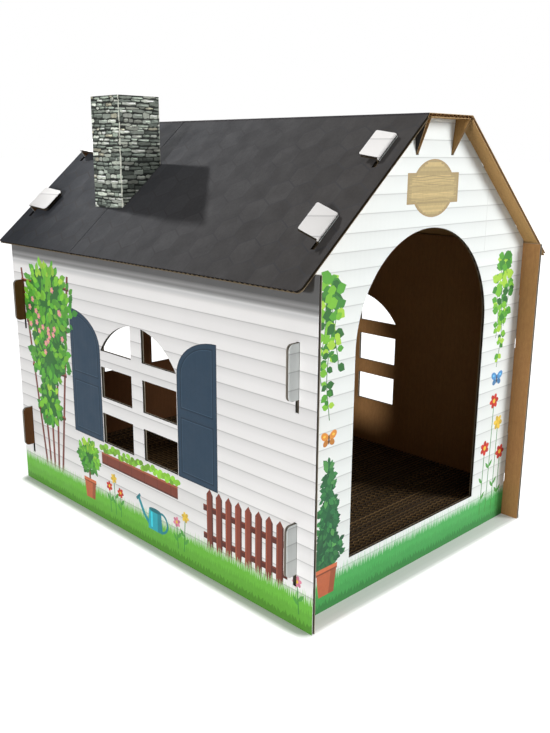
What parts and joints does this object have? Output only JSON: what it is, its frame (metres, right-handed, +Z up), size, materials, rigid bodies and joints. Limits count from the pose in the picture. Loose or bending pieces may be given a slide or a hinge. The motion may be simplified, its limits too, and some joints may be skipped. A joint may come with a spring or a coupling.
{
  "type": "cat condo",
  "caption": "Flat-pack corrugated cardboard cottage for a cat: arched door, window cut-outs, tabbed roof, lift-off chimney and a scratch pad inside.",
  "frame": {"origin": "on the floor at the centre of the footprint", "axes": "+Z up, ridge along Y, door gable facing -Y, chimney on the -X slope"},
  "size_m": [0.397, 0.522, 0.48],
  "materials": {
    "siding_board": "matte print",
    "roof_board": "matte print",
    "stone_board": "matte print",
    "pad_board": "raw kraft"
  },
  "bodies": {
    "house": {"left_wall": "siding_board", "right_wall": "siding_board", "front_wall": "siding_board", "rear_wall": "siding_board", "left_roof": "roof_board", "right_roof": "roof_board", "ridge_channel": "roof_board"},
    "front_left_upper_tab": {"front_left_upper_tab": "siding_board"},
    "front_left_lower_tab": {"front_left_lower_tab": "siding_board"},
    "front_right_upper_tab": {"front_right_upper_tab": "siding_board"},
    "front_right_lower_tab": {"front_right_lower_tab": "siding_board"},
    "rear_left_upper_tab": {"rear_left_upper_tab": "siding_board"},
    "rear_left_lower_tab": {"rear_left_lower_tab": "siding_board"},
    "rear_right_upper_tab": {"rear_right_upper_tab": "siding_board"},
    "rear_right_lower_tab": {"rear_right_lower_tab": "siding_board"},
    "chimney": {"chimney": "stone_board"},
    "scratch_pad": {"scratch_pad": "pad_board"}
  },
  "joints": [
    {"name": "front_left_upper_fold", "type": "hinge", "parent": "house", "child": "front_left_upper_tab", "pos_m": [-0.07214, -0.23825, 0.4277], "axis": [-0.7547, 0, -0.6561], "range_deg": [-79, 11]},
    {"name": "front_left_lower_fold", "type": "hinge", "parent": "house", "child": "front_left_lower_tab", "pos_m": [-0.1477, -0.23825, 0.36201], "axis": [-0.7547, 0, -0.6561], "range_deg": [-55, 35]},
    {"name": "front_right_upper_fold", "type": "hinge", "parent": "house", "child": "front_right_upper_tab", "pos_m": [0.07214, -0.23825, 0.4277], "axis": [-0.7547, 0, 0.6561], "range_deg": [-79, 11]},
    {"name": "front_right_lower_fold", "type": "hinge", "parent": "house", "child": "front_right_lower_tab", "pos_m": [0.1477, -0.23825, 0.36201], "axis": [-0.7547, 0, 0.6561], "range_deg": [-55, 35]},
    {"name": "rear_left_upper_fold", "type": "hinge", "parent": "house", "child": "rear_left_upper_tab", "pos_m": [-0.07611, 0.23825, 0.43228], "axis": [0.7547, 0, 0.6561], "range_deg": [-98, 2]},
    {"name": "rear_left_lower_fold", "type": "hinge", "parent": "house", "child": "rear_left_lower_tab", "pos_m": [-0.15168, 0.23825, 0.36659], "axis": [0.7547, 0, 0.6561], "range_deg": [-98, 2]},
    {"name": "rear_right_upper_fold", "type": "hinge", "parent": "house", "child": "rear_right_upper_tab", "pos_m": [0.07611, 0.23825, 0.43228], "axis": [0.7547, 0, -0.6561], "range_deg": [-98, 2]},
    {"name": "rear_right_lower_fold", "type": "hinge", "parent": "house", "child": "rear_right_lower_tab", "pos_m": [0.15168, 0.23825, 0.36659], "axis": [0.7547, 0, -0.6561], "range_deg": [-98, 2]},
    {"name": "chimney_lift", "type": "slide", "parent": "house", "child": "chimney", "axis": [0, 0, 1], "range_m": [0, 0.15]},
    {"name": "pad_lift", "type": "slide", "parent": "house", "child": "scratch_pad", "axis": [0, 0, 1], "range_m": [0, 0.2]}
  ]
}
